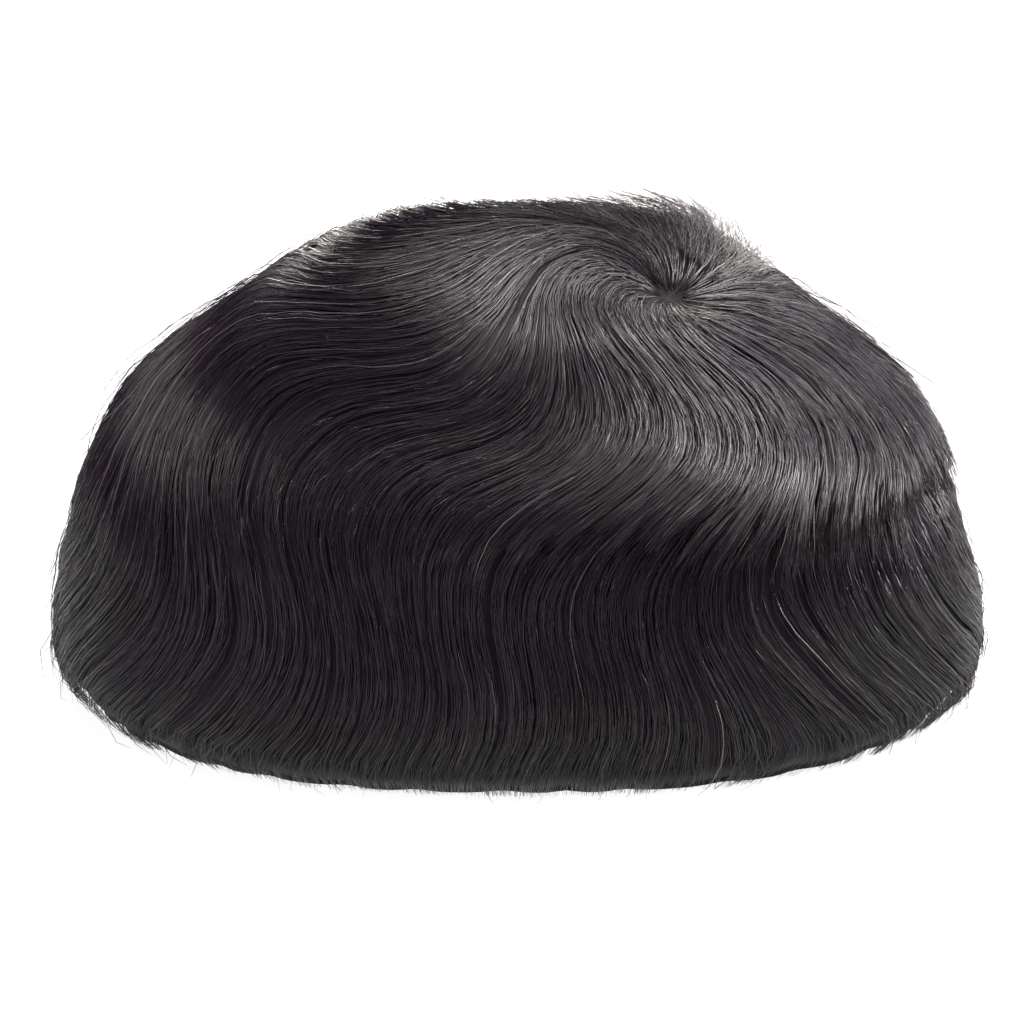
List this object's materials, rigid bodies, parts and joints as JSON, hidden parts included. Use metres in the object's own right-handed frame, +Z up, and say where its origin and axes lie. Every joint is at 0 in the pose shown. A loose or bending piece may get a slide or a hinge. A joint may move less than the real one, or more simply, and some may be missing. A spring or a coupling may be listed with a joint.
{
  "type": "toupee hairpiece",
  "caption": "Dark toupee as it lies on a table: a thin dome-shaped base, crown hair from a whorl down to a ledge of tips, and hair curtains to the table.",
  "frame": {"origin": "on the table, under the middle of the hair", "axes": "+Z up; the wearer faces -Y, so +X is the wearer's left"},
  "size_m": [0.1861, 0.2454, 0.119],
  "materials": {
    "hair": "dark brown-black straight to wavy hair, satin",
    "base_net": "thin dark mesh base with knotted hair roots, matt"
  },
  "bodies": {
    "root": {"base_cap": "base_net", "crown_hair": "hair", "left_side_hair": "hair", "back_hair": "hair", "right_side_hair": "hair", "front_hair": "hair"}
  },
  "joints": []
}
